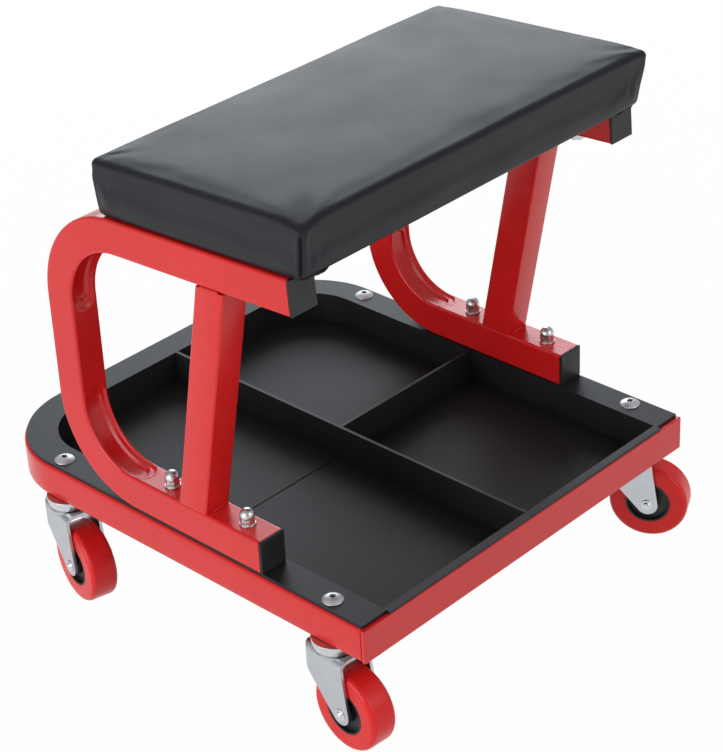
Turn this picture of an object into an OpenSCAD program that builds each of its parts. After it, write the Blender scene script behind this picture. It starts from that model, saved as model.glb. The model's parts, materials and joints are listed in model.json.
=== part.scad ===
// Mechanic's rolling seat: a padded seat on two bent side frames, over a moulded
// tool tray that drops into a low rail carried on four swivel castors.
// Millimetres, +Z up. X runs along the seat's long side, -Y is the open front.
// z = 0 is the floor.

/* [Base rail] */
// Width of the base, outside to outside
base_w = 366; // [350:1:390]
// Depth of the base, from the front bar's face to the back of the rail
base_d = 412; // [395:1:440]
// Outside radius of the rail's back corners
corner_r = 75; // [60:1:85]
// Width of the rail's tube, seen from above
rail_w = 24.5; // [23:0.5:26]
// Height of the rail's tube
rail_h = 28; // [26:0.5:32]
// Height of the rail's underside above the floor
rail_lift = 85.5; // [84:0.5:92]
// Wall of every steel tube
wall = 1.8; // [1.5:0.1:2]
// Thickness of the flat bar across the front
bar_t = 3.5; // [3:0.5:4]

/* [Tool tray] */
// Thickness of the tray's flange and its floor
flange_t = 2.5; // [2:0.5:3]
// Thickness of the tray's walls
tray_wall = 2.2; // [2:0.1:2.6]
// Depth of the tray, from the flange's top to the floor
tray_depth = 26; // [20:1:27]
// Width of the lip over the front bar
lip_w = 6; // [5:0.5:8]
// Thickness of the dividers
divider_t = 2.6; // [2:0.1:4]
// Distance of the cross divider from the front bar's face
cross_y = 196; // [160:1:240]
// Size of the small step round the foot of each compartment's walls
foot_step = 1; // [0.5:0.25:2]

/* [Side frames] */
// Width of the side frames' tube, along X
tube_w = 24.5; // [23:0.5:26]
// Depth of the side frames' tube, in the plane of the bend
tube_d = 27.5; // [25:0.5:30]
// Distance of the bottom arm's front end from the front bar's face
arm_front = 99.8; // [90:1:110]
// Distance of the seat arm's front end from the front bar's face
seat_front = 53.2; // [45:1:60]
// Height of the seat arm's top at its front end, above the flange
seat_h = 254; // [240:1:280]
// Backward tilt of the seat
tilt = 3.64; // [2:0.02:5]
// Distance of the back leg's outer face from the front bar's face
leg_back = 310; // [300:1:320]
// Outside radius of the lower bend
bend_low = 75; // [70:1:85]
// Outside radius of the upper bend
bend_high = 84; // [75:1:90]
// Depth of the crush groove pressed into the inside of each bend
crush_depth = 4; // [2:0.5:5]
// Distance of the upright's foot from the front bar's face, at flange height
foot_y = 161.4; // [155:1:170]
// Width of the upright, along Y
upright_w = 28; // [25:0.5:30]
// How far the upright leans forward for each millimetre up
lean = 0.2; // [0.1:0.01:0.25]

/* [Seat] */
// Length of the cushion's underside, along X
seat_l = 358; // [350:1:366]
// Depth of the cushion's underside
seat_d = 200; // [190:1:210]
// Thickness of the cushion at its edge
seat_t = 45; // [40:1:55]
// Rise of the cushion's crown above its edge
crown = 4; // [0:0.5:8]
// How far the cushion's front face draws in towards the bottom
draw_in = 9; // [2:0.5:12]
// Thickness of the cover
cover_t = 1; // [0.8:0.1:1.4]
// Thickness of the seat board
board_t = 10; // [8:0.5:14]

/* [Castors] */
// Diameter of the wheels
wheel_dia = 63.5; // [60:0.5:66]
// Width of the wheels
wheel_w = 23; // [20:0.5:24]
// Distance of the axle behind the kingpin
trail = 18; // [14:0.5:20]
// Distance of the front kingpins from the front bar's face
front_pin_y = 41; // [36:0.5:46]
// Distance of the back kingpins from the front bar's face
back_pin_y = 329.5; // [315:0.5:330]
// Radius of the kingpins
kingpin_r = 5; // [4.5:0.1:5.5]
// Radius of the axle bolts
axle_r = 4; // [3.5:0.1:4.5]

/* [Hidden] */
$fn = 64;
// The front bar's face and the middle of the base, placed so that the whole
// seat's box is centred on the origin with the castors at rest
front_y = -201.42;
mid_x = -4.76;

rail_top = rail_lift + rail_h;
deck = rail_top + flange_t;
floor_z = deck - tray_depth;
half_w = base_w / 2;
tube_mid = half_w - rail_w / 2;
tray_gap = 0.3;
tray_half = half_w - rail_w - tray_gap - tray_wall;
tray_front = lip_w + 0.5;
tray_back = base_d - rail_w - tray_gap - tray_wall;
inner_corner = corner_r - rail_w - tray_gap - tray_wall;
flange_inset = 2;
groove_w = 1.2;

frame_out = half_w - 1;
frame_mid = frame_out - tube_w / 2;
cap_t = 2.2;
cap_plug = 12;
low_c = [leg_back - bend_low, deck + bend_low];
arm_len = (leg_back - bend_high + bend_high * sin(tilt) - seat_front) / cos(tilt);
high_c = [
    leg_back - bend_high,
    deck + seat_h - bend_high * cos(tilt) - arm_len * sin(tilt)
];
crush_r = 10;
upright_wall = wall * sqrt(1 + lean * lean);

// Bolts through the side frames, the tray's flange and the rail
frame_bolt_y = [124.5, 203.5];
bolt_r = 3;
hole_r = 3.2;
nut_flats = 10;
hex_h = 4.6;
dome_r = 5.6;
cap_nut_h = 12;
washer_t = 1.4;
truss_r = 8;
truss_h = 3.5;
truss_dome = 12;

hem = 30;
seat_overhang = 9;
seat_shift = 5.5;
board_edge = 4.5;
seat_bolt_x = 166;
seat_bolt_v = [40, 150];

race_h = 7.7;
race_r = 17.5;
crown_gap = 0.8;
crown_z = rail_lift - race_h - crown_gap;
crown_r = 16.5;
crown_front = 20.7;
crown_back = -20;
plate_t = 2.8;
ball_r = 2;
ball_pitch = 11;
ball_n = 12;
ball_z = (crown_z + rail_lift - race_h) / 2 + 1.2;
leg_in = wheel_w / 2 + 1;
leg_t = 2.4;
leg_out = leg_in + leg_t;
wheel_r = wheel_dia / 2;
core_r = 18;
bush_r = 6;
run_gap = 0.05;

// Name, side, distance of the kingpin from the front, heading of the trail
CASTORS = [
    ["front_left", -1, front_pin_y, -94],
    ["back_left", -1, back_pin_y, -103],
    ["front_right", 1, front_pin_y, -63.5],
    ["back_right", 1, back_pin_y, -80]
];
CASTOR_PIECES = [
    "upper_race", "race_balls", "kingpin", "fork", "axle_bolt",
    "axle_nut", "axle_bush", "wheel_core", "wheel_tread"
];

// Places: the base's frame, the seat's sloping frame and a castor's own frame

module at_base() {
    translate([mid_x, front_y, 0]) children();
}

module at_seat() {
    at_base() translate([0, seat_front, deck + seat_h]) rotate([-tilt, 0, 0]) children();
}

module at_castor(c) {
    at_base() translate([c[1] * tube_mid, c[2], 0]) rotate(c[3]) children();
}

module at_side(side) {
    at_base() mirror([side > 0 ? 1 : 0, 0, 0]) children();
}

module both_sides() {
    for (side = [0, 1]) mirror([side, 0, 0]) children();
}

// An outline in Y and Z, made w thick along X from x
module across(x, w) {
    translate([x, 0, 0]) rotate([90, 0, 90]) linear_extrude(w) children();
}

// Base

// Plan of the base: square front, round back corners
module plan(half, y0, y1, r) {
    translate([-half, y0]) square([2 * half, y1 - r - y0]);
    translate([-half + r, y0]) square([2 * (half - r), y1 - y0]);
    for (s = [-1, 1]) translate([s * (half - r), y1 - r]) circle(r);
}

module rail_ring(i) {
    difference() {
        plan(half_w - i, bar_t, base_d - i, corner_r - i);
        plan(half_w - rail_w + i, bar_t - 1, base_d - rail_w + i, corner_r - rail_w + i);
    }
}

module each_corner() {
    for (s = [-1, 1], y = [front_pin_y, back_pin_y]) translate([s * tube_mid, y, 0]) children();
}

module each_frame_bolt() {
    for (s = [-1, 1], y = frame_bolt_y) translate([s * frame_mid, y, 0]) children();
}

module base_rail() {
    color("#cf383b") at_base() difference() {
        translate([0, 0, rail_lift]) linear_extrude(rail_h) rail_ring(0);
        translate([0, 0, rail_lift + wall]) linear_extrude(rail_h - 2 * wall) rail_ring(wall);
        each_corner() {
            translate([0, 0, rail_lift - 1]) cylinder(r = kingpin_r + 0.1, h = wall + 2);
            translate([0, 0, rail_top - wall - 1]) cylinder(r = hole_r, h = wall + 2);
        }
        each_frame_bolt() translate([0, 0, rail_lift - 1]) cylinder(r = hole_r, h = rail_h + 2);
    }
}

module front_bar() {
    color("#cc4a4c") at_base() translate([-half_w, 0, rail_lift]) cube([base_w, bar_t, rail_h]);
}

module flange_plan() {
    difference() {
        union() {
            plan(half_w - flange_inset, bar_t, base_d - flange_inset, corner_r - flange_inset);
            translate([-tray_half, 0.5]) square([2 * tray_half, bar_t]);
        }
        plan(tray_half, tray_front, tray_back, inner_corner);
    }
}

// The three compartments: one long, two short
module compartment(k, i) {
    x0 = k == 0 ? -tray_half - 1 : divider_t / 2 + i;
    x1 = k == 0 ? -divider_t / 2 - i : tray_half + 1;
    y0 = k == 1 ? cross_y + divider_t / 2 + i : 0;
    y1 = k == 2 ? cross_y - divider_t / 2 - i : base_d;
    intersection() {
        plan(tray_half - i, tray_front + i, tray_back - i, inner_corner - i);
        translate([x0, y0]) square([x1 - x0, y1 - y0]);
    }
}

module tool_tray() {
    color("#2c2d30") at_base() difference() {
        union() {
            translate([0, 0, rail_top]) linear_extrude(flange_t) flange_plan();
            translate([0, 0, floor_z - flange_t]) linear_extrude(tray_depth + flange_t)
                plan(tray_half + tray_wall, tray_front - tray_wall, tray_back + tray_wall,
                    inner_corner + tray_wall);
        }
        for (k = [0:2]) {
            translate([0, 0, floor_z + foot_step]) linear_extrude(tray_depth) compartment(k, 0);
            translate([0, 0, floor_z]) linear_extrude(tray_depth) compartment(k, foot_step);
        }
        translate([-tray_half + 3, cross_y - groove_w / 2, floor_z - 0.6])
            cube([tray_half - divider_t / 2 - 6, groove_w, 1]);
        each_corner() translate([0, 0, rail_top - 1]) cylinder(r = hole_r, h = flange_t + 2);
        each_frame_bolt() translate([0, 0, rail_top - 1]) cylinder(r = hole_r, h = flange_t + 2);
    }
}

// Side frames

// Everything inside an outline that runs d within the frame's outer face, from
// base_y on the bottom arm to top_len along the seat arm
module within(d, base_y, top_len) {
    up = [sin(tilt), cos(tilt)];
    ahead = [-cos(tilt), sin(tilt)];
    high = high_c + (bend_high - d) * up;
    polygon([
        [base_y, deck + d], [low_c.x, deck + d], [leg_back - d, low_c.y],
        [leg_back - d, high_c.y], high, high + top_len * ahead,
        high + top_len * ahead - 2 * tube_d * up, [base_y, deck + 2 * tube_d]
    ]);
    translate(low_c) circle(bend_low - d);
    translate(high_c) circle(bend_high - d);
}

// The bent tube in Y and Z, drawn in by i, its ends run out by e
module bent_tube(i, e) {
    difference() {
        within(i, arm_front + cap_t - e, arm_len - cap_t + e);
        within(tube_d - i, -100, 300);
    }
}

// The groove pressed into the inside of a bend: a ring set off towards the middle
// of the bend, so that the groove runs out at both ends
module crush(c, r, mid, off, grow) {
    ring = r + crush_depth - off - crush_r;
    translate([frame_mid, c.x + off * cos(mid), c.y + off * sin(mid)]) rotate([90, 0, 90])
        rotate_extrude(convexity = 4) translate([ring, 0]) circle(crush_r + grow);
}

module crushes(grow) {
    crush(low_c, bend_low - tube_d, -45, 8, grow);
    crush(high_c, bend_high - tube_d, 45 - tilt / 2, 11, grow);
}

// The two sectors of the frame's plane that hold its bends
module bend_sectors() {
    far = 2 * bend_high;
    translate([low_c.x, low_c.y - far]) square(far);
    polygon([
        high_c, high_c + [far, 0], high_c + [far, far], high_c + far * [sin(tilt), cos(tilt)]
    ]);
}

// Drawn at +X, for the right side; the left one is its mirror image
module frame_tube() {
    difference() {
        across(frame_out - tube_w, tube_w) bent_tube(0, 0);
        difference() {
            across(frame_out - tube_w + wall, tube_w - 2 * wall) bent_tube(wall, 1);
            crushes(wall);
        }
        crushes(0);
        for (y = frame_bolt_y) translate([frame_mid, y, deck - 1])
            cylinder(r = hole_r, h = tube_d + 2);
        for (v = seat_bolt_v) translate([0, seat_front, deck + seat_h]) rotate([-tilt, 0, 0])
            translate([seat_bolt_x, v, -tube_d - 1]) cylinder(r = hole_r, h = tube_d + 2);
    }
}

// The bottom arm, the back leg and the seat arm
module side_frame(side) {
    color("#cf383b") at_side(-side) difference() {
        frame_tube();
        across(frame_out - tube_w - 1, tube_w + 2) bend_sectors();
    }
}

// The two bends between them, with their crush grooves
module frame_bends(side) {
    color("#cf383b") at_side(-side) intersection() {
        frame_tube();
        across(frame_out - tube_w - 1, tube_w + 2) bend_sectors();
    }
}

// Height at which the upright's face that stands at y meets the seat arm
function meets(y) =
    let (a = deck + seat_h + seat_front * tan(tilt) - tube_d / cos(tilt))
    (a - (y + lean * deck) * tan(tilt)) / (1 - lean * tan(tilt));
function leaned(y, z) = [y - lean * (z - deck), z];

module upright_outline(i) {
    y0 = foot_y + i;
    y1 = foot_y + upright_w - i;
    foot = deck + tube_d;
    polygon([leaned(y0, foot), leaned(y1, foot), leaned(y1, meets(y1)), leaned(y0, meets(y0))]);
}

module upright(side) {
    color("#cf383b") at_side(-side) difference() {
        across(frame_out - tube_w, tube_w) upright_outline(0);
        across(frame_out - tube_w + wall, tube_w - 2 * wall) upright_outline(upright_wall);
    }
}

// Black plug: the face plate outwards along +Z, the hollow plug into the tube
module arm_cap() {
    color("#242528") difference() {
        union() {
            translate([-tube_w / 2, -tube_d / 2, 0]) cube([tube_w, tube_d, cap_t]);
            translate([-tube_w / 2 + wall, -tube_d / 2 + wall, -cap_plug])
                cube([tube_w - 2 * wall, tube_d - 2 * wall, cap_plug]);
        }
        translate([-tube_w / 2 + 2 * wall, -tube_d / 2 + 2 * wall, -cap_plug - 1])
            cube([tube_w - 4 * wall, tube_d - 4 * wall, cap_plug]);
    }
}

module base_arm_cap(side) {
    at_base() translate([side * frame_mid, arm_front + cap_t, deck + tube_d / 2])
        rotate([90, 0, 0]) arm_cap();
}

module seat_arm_cap(side) {
    at_seat() translate([side * frame_mid, cap_t, -tube_d / 2]) rotate([90, 0, 0]) arm_cap();
}

// Fasteners

module hex(flats, h) {
    cylinder(r = flats / sqrt(3), h = h, $fn = 6);
}

module washer(r, hole, t) {
    difference() {
        cylinder(r = r, h = t);
        translate([0, 0, -1]) cylinder(r = hole, h = t + 2);
    }
}

bolt_top = deck + tube_d + washer_t + 8;

module frame_bolts() {
    color("#c3c7cb") at_base() each_frame_bolt() {
        translate([0, 0, rail_lift - 4]) hex(nut_flats, 4);
        translate([0, 0, rail_lift - 0.5]) cylinder(r = bolt_r, h = bolt_top - rail_lift - 0.5);
        translate([0, 0, bolt_top - 1]) cylinder(r1 = bolt_r, r2 = bolt_r - 1, h = 1);
    }
}

module frame_washers() {
    color("#c3c7cb") at_base() each_frame_bolt() translate([0, 0, deck + tube_d])
        washer(6.2, hole_r, washer_t);
}

// Cap nut: a hexagon under a ball, its bore blind
module frame_nuts() {
    color("#c3c7cb") at_base() each_frame_bolt() translate([0, 0, deck + tube_d + washer_t])
        difference() {
            union() {
                hex(nut_flats, hex_h);
                translate([0, 0, cap_nut_h - dome_r]) sphere(r = dome_r);
            }
            translate([0, 0, -1]) cylinder(r = bolt_r, h = 9.5);
        }
}

// Truss-head screws that clamp the tray and thread into the kingpins
module corner_screws() {
    color("#ccd0d3") at_base() each_corner() difference() {
        union() {
            translate([0, 0, deck]) intersection() {
                translate([0, 0, truss_h - truss_dome]) sphere(r = truss_dome);
                cylinder(r = truss_r, h = truss_h + 1);
            }
            translate([0, 0, rail_lift + 8]) cylinder(r = bolt_r, h = deck - rail_lift - 7.5);
        }
        translate([0, 0, deck + 1]) hex(4.5, 4);
    }
}

// Seat, in its own frame: x, v back along the seat, w up from the arms

// One closed loop of points round the cushion, drawn in by d
loop_arc = 5;
loop_n = 4 * loop_arc + 12;
function side_points(a, b, n) = [for (k = [1:n]) a + (b - a) * k / (n + 1)];
function loop(hx, hv, cv, r, w) =
    let (c = [for (q = [0:3]) [
        for (k = [0:loop_arc - 1]) let (a = 90 * (q + k / (loop_arc - 1)))
            [(q == 0 || q == 3 ? 1 : -1) * (hx - r) + r * cos(a),
             cv + (q < 2 ? 1 : -1) * (hv - r) + r * sin(a), w]]])
    concat(
        c[0], side_points(c[0][loop_arc - 1], c[1][0], 4),
        c[1], side_points(c[1][loop_arc - 1], c[2][0], 2),
        c[2], side_points(c[2][loop_arc - 1], c[3][0], 4),
        c[3], side_points(c[3][loop_arc - 1], c[0][0], 2)
    );

// The cushion's section: how far in from its widest outline, at a height w
edge_r = 7;
side_top = seat_t - edge_r;
function bulge(w) = pow(1 - min(w / side_top, 1), 1.6);
function seat_level(d, w, g) =
    let (
        u = min(w / side_top, 1),
        hx = seat_l / 2 + draw_in / 2 * (1 - bulge(w)) - d - g,
        hv = seat_d / 2 + draw_in / 2 * (1 - bulge(w)) - d - g,
        cv = seat_d / 2 - seat_overhang - seat_shift * u,
        r = max(7 - d - g, 1.5)
    )
    loop(hx, hv, cv, r, w);
function top_rise(d) =
    let (t = (d - edge_r) / (seat_d / 2 - edge_r)) crown * (1 - pow(1 - t, 2));
function seat_skin(g) = concat(
    [for (w = [0, 2, 5, 11, 19, 28]) seat_level(w == 0 ? 2 : w == 2 ? 0.5 : 0, max(w, g), g)],
    [for (a = [0, 22.5, 45, 67.5]) seat_level(edge_r * (1 - cos(a)), side_top + (edge_r - g) * sin(a), g)],
    [for (d = [edge_r, 14, 28, 50, 75, 94]) seat_level(d, seat_t - g + top_rise(d), g)]
);
function flat_loop(inset, w) =
    loop(seat_l / 2 - inset, seat_d / 2 - inset, seat_d / 2 - seat_overhang, 6, w);
function reversed(list) = [for (k = [len(list) - 1:-1:0]) list[k]];

// A closed skin through a run of loops, with a flat fan at each end
module skin(loops) {
    n = loop_n;
    m = len(loops);
    polyhedron(
        points = [for (l = loops) each l],
        faces = concat(
            [for (j = [0:m - 2], k = [0:n - 1]) each [
                [j * n + k, (j + 1) * n + (k + 1) % n, j * n + (k + 1) % n],
                [j * n + k, (j + 1) * n + k, (j + 1) * n + (k + 1) % n]]],
            [for (k = [3:n]) [2, k % n, (k + 1) % n]],
            [for (k = [3:n]) let (e = (m - 1) * n) [e + 2, e + (k + 1) % n, e + k % n]]
        ),
        convexity = 6
    );
}

board_w = board_t + cover_t;

// Plywood board, with a hole for each seat bolt
module seat_board() {
    color("#9a7648") at_seat() difference() {
        translate([0, 0, cover_t]) linear_extrude(board_t)
            polygon([for (p = flat_loop(board_edge, 0)) [p.x, p.y]]);
        each_seat_bolt() translate([0, 0, -1]) cylinder(r = 4, h = board_w + 3);
        each_seat_bolt() translate([0, 0, board_w - 1.2]) cylinder(r = 8.5, h = 3);
    }
}

// Foam: the cushion's form inside the cover, round the board's edge
module seat_foam() {
    color("#d9d2b8") at_seat() skin(concat(
        [flat_loop(board_edge, board_w), flat_loop(board_edge, cover_t)],
        seat_skin(cover_t)
    ));
}

// Vinyl cover, folded in under the board as a hem
module seat_cover() {
    color("#3b3d40") at_seat() skin(concat(
        reversed(seat_skin(cover_t)),
        [flat_loop(hem, cover_t), flat_loop(hem, 0)],
        seat_skin(0)
    ));
}

// Spare vinyl tucked under the overhang at the two front corners
module seat_cover_folds() {
    color("#1f2022") at_seat() both_sides()
        translate([seat_l / 2 - 29, -seat_overhang + 1, -2.2]) cube([26, seat_overhang - 1.5, 2.2]);
}

module each_seat_bolt() {
    for (s = [-1, 1], v = seat_bolt_v) translate([s * seat_bolt_x, v, 0]) children();
}

module seat_bolts() {
    color("#c3c7cb") at_seat() each_seat_bolt() {
        translate([0, 0, -tube_d - washer_t - 4]) hex(nut_flats, 4);
        translate([0, 0, -tube_d - washer_t - 0.5]) cylinder(r = bolt_r, h = tube_d + washer_t + 9);
    }
}

module seat_bolt_washers() {
    color("#c3c7cb") at_seat() each_seat_bolt() translate([0, 0, -tube_d - washer_t])
        washer(7.2, hole_r, washer_t);
}

module seat_tee_nuts() {
    color("#c3c7cb") at_seat() each_seat_bolt() difference() {
        union() {
            translate([0, 0, cover_t + 1]) cylinder(r = 4, h = board_t - 2);
            translate([0, 0, board_w - 1.2]) cylinder(r = 8.5, h = 1.2);
        }
        translate([0, 0, -1]) cylinder(r = bolt_r, h = board_w + 3);
    }
}

// Castors, each in its own frame: the kingpin on z, the trail along +x

module ball_track() {
    rotate_extrude() translate([ball_pitch, ball_z]) circle(ball_r + run_gap);
}

module upper_race() {
    color("#b9bec2") difference() {
        union() {
            translate([0, 0, rail_lift - 3]) cylinder(r = race_r, h = 3);
            translate([0, 0, rail_lift - race_h]) cylinder(r1 = race_r - 1.2, r2 = race_r, h = race_h - 3);
        }
        translate([0, 0, rail_lift - race_h - 1]) cylinder(r = kingpin_r, h = race_h + 2);
        ball_track();
    }
}

module race_balls() {
    color("#d5d8da") for (k = [0:ball_n - 1])
        rotate(360 * k / ball_n) translate([ball_pitch, 0, ball_z]) sphere(r = ball_r);
}

// Riveted head below the fork, stem up inside the rail, tapped for the corner screw
module kingpin() {
    head_top = crown_z - plate_t - 0.3;
    color("#b9bec2") difference() {
        union() {
            translate([0, 0, head_top - 3]) cylinder(r1 = 7, r2 = 8.5, h = 3);
            translate([0, 0, head_top - 1]) cylinder(r = kingpin_r, h = rail_top - wall - head_top + 1);
        }
        translate([0, 0, rail_lift + 6]) cylinder(r = bolt_r, h = rail_h);
    }
}

// Where the line from p touches the circle at c, on the side given by s
function touch(p, c, r, s) =
    let (d = c - p, l = norm(d), a = atan2(d.y, d.x) + s * asin(r / l), t = sqrt(l * l - r * r))
    p + t * [cos(a), sin(a)];

// Side view of the fork: trail along x, height along y
module fork_side() {
    axle = [trail, wheel_r];
    tip_r = 8.6;
    lead = [crown_back, crown_z - 15];
    back = [crown_front, crown_z - 6];
    polygon([
        [crown_back, crown_z + 1], lead, touch(lead, axle, tip_r, -1), axle,
        touch(back, axle, tip_r, 1), back, [crown_front, crown_z + 1]
    ]);
    translate(axle) circle(tip_r);
}

// Front view of the fork's sheet, drawn in by i: two legs under a round-shouldered crown
module fork_front(i) {
    r = 7 - i;
    top = crown_z - (i > 0 ? plate_t : 0);
    translate([-leg_out + i, 0]) square([2 * (leg_out - i), top - r]);
    translate([-leg_out + i + r, 0]) square([2 * (leg_out - i - r), top]);
    for (s = [-1, 1]) translate([s * (leg_out - i - r), top - r]) circle(r);
}

// Plan of the fork's crown
module fork_plan() {
    r = 7;
    w = crown_front - crown_back + 6;
    translate([crown_back, -leg_out + r]) square([w, 2 * (leg_out - r)]);
    translate([crown_back + r, -leg_out]) square([w - r, 2 * leg_out]);
    for (s = [-1, 1]) translate([crown_back + r, s * (leg_out - r)]) circle(r);
}

// Pressed fork: one bent sheet, with a round raceway dished into its crown
module fork() {
    color("#b9bec2") difference() {
        union() {
            intersection() {
                rotate([90, 0, 90]) translate([0, 0, crown_back]) linear_extrude(60) difference() {
                    fork_front(0);
                    fork_front(leg_t);
                }
                rotate([90, 0, 0]) translate([0, 0, -40]) linear_extrude(80) fork_side();
                linear_extrude(100) fork_plan();
            }
            translate([0, 0, crown_z - plate_t]) cylinder(r = crown_r, h = plate_t - 1);
            translate([0, 0, crown_z - 1]) cylinder(r1 = crown_r, r2 = crown_r - 1, h = 1);
        }
        cylinder(r = kingpin_r + run_gap, h = 200);
        ball_track();
        translate([trail, 0, wheel_r]) rotate([90, 0, 0]) cylinder(r = axle_r + run_gap, h = 60, center = true);
    }
}

module at_axle() {
    translate([trail, 0, wheel_r]) rotate([90, 0, 0]) children();
}

// Axle bolt, with a round button on its flat head at the outer leg
module axle_bolt() {
    color("#c9cdd0") at_axle() {
        translate([0, 0, -leg_out - 6]) cylinder(r = axle_r, h = 2 * leg_out + 6);
        translate([0, 0, leg_out]) cylinder(r1 = 5, r2 = 4.5, h = 0.8);
        translate([0, 0, leg_out - 1.1]) sphere(r = 3.7);
    }
}

module axle_nut() {
    color("#c3c7cb") at_axle() translate([0, 0, -leg_out - 5]) difference() {
        hex(11, 5);
        translate([0, 0, -1]) cylinder(r = axle_r, h = 7);
    }
}

module axle_bush() {
    color("#a9adb0") at_axle() difference() {
        cylinder(r = bush_r, h = 2 * leg_in, center = true);
        cylinder(r = axle_r, h = 3 * leg_in, center = true);
    }
}

// Hub: a black disc, dished between its boss and its rim
module wheel_core() {
    color("#17181a") at_axle() difference() {
        cylinder(r = core_r, h = wheel_w, center = true);
        cylinder(r = bush_r + run_gap, h = wheel_w + 2, center = true);
        for (s = [-1, 1]) translate([0, 0, s * (wheel_w / 2 - 1.5)]) difference() {
            cylinder(r = core_r - 1.6, h = 5, center = true);
            cylinder(r = bush_r + 2.6, h = 6, center = true);
        }
    }
}

module wheel_tread() {
    round_r = 4;
    color("#c23436") at_axle() rotate_extrude(convexity = 4) {
        translate([core_r, -wheel_w / 2]) square([wheel_r - round_r - core_r, wheel_w]);
        translate([core_r, -wheel_w / 2 + round_r]) square([wheel_r - core_r, wheel_w - 2 * round_r]);
        for (s = [-1, 1]) translate([wheel_r - round_r, s * (wheel_w / 2 - round_r)]) circle(round_r);
    }
}

base_rail();
front_bar();
tool_tray();
side_frame(-1);  // left_side_frame
side_frame(1);  // right_side_frame
frame_bends(-1);  // left_frame_bends
frame_bends(1);  // right_frame_bends
upright(-1);  // left_upright
upright(1);  // right_upright
seat_arm_cap(-1);  // left_seat_arm_cap
base_arm_cap(-1);  // left_base_arm_cap
seat_arm_cap(1);  // right_seat_arm_cap
base_arm_cap(1);  // right_base_arm_cap
frame_bolts();
frame_washers();
frame_nuts();
seat_board();
seat_foam();
seat_cover();
seat_cover_folds();
seat_bolts();
seat_bolt_washers();
seat_tee_nuts();
corner_screws();
for (c = CASTORS) {
    at_castor(c) upper_race();
    at_castor(c) race_balls();
    at_castor(c) kingpin();
    at_castor(c) fork();
    at_castor(c) axle_bolt();
    at_castor(c) axle_nut();
    at_castor(c) axle_bush();
    at_castor(c) wheel_core();
    at_castor(c) wheel_tread();
}
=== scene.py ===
import bpy, bmesh, json, math
from mathutils import Vector, Matrix, noise

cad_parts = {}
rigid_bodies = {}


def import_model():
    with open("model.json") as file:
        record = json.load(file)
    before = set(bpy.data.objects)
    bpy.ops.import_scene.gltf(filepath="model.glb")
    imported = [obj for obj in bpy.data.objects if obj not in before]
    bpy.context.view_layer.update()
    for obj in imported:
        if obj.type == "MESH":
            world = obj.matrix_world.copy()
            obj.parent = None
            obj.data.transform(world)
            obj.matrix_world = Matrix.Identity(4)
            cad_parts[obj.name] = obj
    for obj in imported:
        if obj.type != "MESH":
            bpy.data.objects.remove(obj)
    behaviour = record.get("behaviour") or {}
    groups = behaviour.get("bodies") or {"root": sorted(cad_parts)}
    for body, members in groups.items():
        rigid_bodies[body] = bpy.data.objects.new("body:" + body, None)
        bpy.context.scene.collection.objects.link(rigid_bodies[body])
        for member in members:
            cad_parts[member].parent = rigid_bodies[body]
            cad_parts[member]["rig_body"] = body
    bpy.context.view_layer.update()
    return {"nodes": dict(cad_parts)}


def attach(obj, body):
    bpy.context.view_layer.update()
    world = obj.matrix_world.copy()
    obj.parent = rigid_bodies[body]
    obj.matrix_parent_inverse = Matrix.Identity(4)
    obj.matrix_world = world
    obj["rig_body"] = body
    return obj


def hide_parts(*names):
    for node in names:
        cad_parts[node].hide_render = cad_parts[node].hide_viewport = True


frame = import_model()
mm = 0.001
print("frame loaded:", len(frame["nodes"]), "nodes")

# where the base's own zero lies in the shared frame: mid-width, front bar's face, floor
base = {"midX": -4.76, "frontY": -201.42, "halfWidth": 183, "depth": 412, "cornerRadius": 75,
        "railWidth": 24.5, "railHeight": 28, "railLift": 85.5, "deck": 116, "barThick": 3.5,
        "pins": (41, 329.5), "seam": 0.35, "edge": 2.2, "pathStep": 12, "cornerSteps": 32, "cuts": 3,
        "barRound": 0.7, "trayRound": 0.45, "trayCuts": 52}
side = {"outer": 182, "tubeWidth": 24.5, "tubeDepth": 27.5, "edge": 2.0, "capThick": 2.2,
        "armFront": 99.8, "seatFront": 53.2, "seatHeight": 254, "tilt": math.radians(3.64),
        "legBack": 310, "bendLow": 75, "bendHigh": 84, "footY": 161.4, "uprightWidth": 28, "lean": 0.2,
        "pathStep": 12, "fineStep": 1, "fineRun": 14, "lowSteps": 80, "highSteps": 84,
        "cuts": 9, "fineCuts": 2, "capRound": 0.9, "uprightShares": (0, 0.02, 0.25, 0.5, 0.75, 0.98, 1)}
sideMid = side["outer"] - side["tubeWidth"] / 2


def atBase(x, y, z):
    return Vector((x + base["midX"], y + base["frontY"], z)) * mm


def atSeat(x, v, w):
    t = side["tilt"]
    return atBase(x, side["seatFront"] + v * math.cos(t) + w * math.sin(t),
                  base["deck"] + side["seatHeight"] - v * math.sin(t) + w * math.cos(t))


# shader helpers
class Wire:
    # one output socket, so that sums on values read as plain Python
    def __init__(self, tree, socket):
        self.tree, self.socket = tree, socket

    def sum(self, operation, other, swapped=False):
        made = self.tree.nodes.new("ShaderNodeMath")
        made.operation = operation
        pair = (other, self) if swapped else (self, other)
        for entry, value in zip(made.inputs, pair):
            feed(self.tree, entry, value)
        return Wire(self.tree, made.outputs[0])

    def __add__(self, other): return self.sum("ADD", other)
    def __radd__(self, other): return self.sum("ADD", other, True)
    def __sub__(self, other): return self.sum("SUBTRACT", other)
    def __rsub__(self, other): return self.sum("SUBTRACT", other, True)
    def __mul__(self, other): return self.sum("MULTIPLY", other)
    def __rmul__(self, other): return self.sum("MULTIPLY", other, True)
    def __truediv__(self, other): return self.sum("DIVIDE", other)
    def __pow__(self, other): return self.sum("POWER", other)


def feed(tree, entry, value):
    if isinstance(value, Wire):
        tree.links.new(value.socket, entry)
    elif value is not None:
        entry.default_value = value


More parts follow.
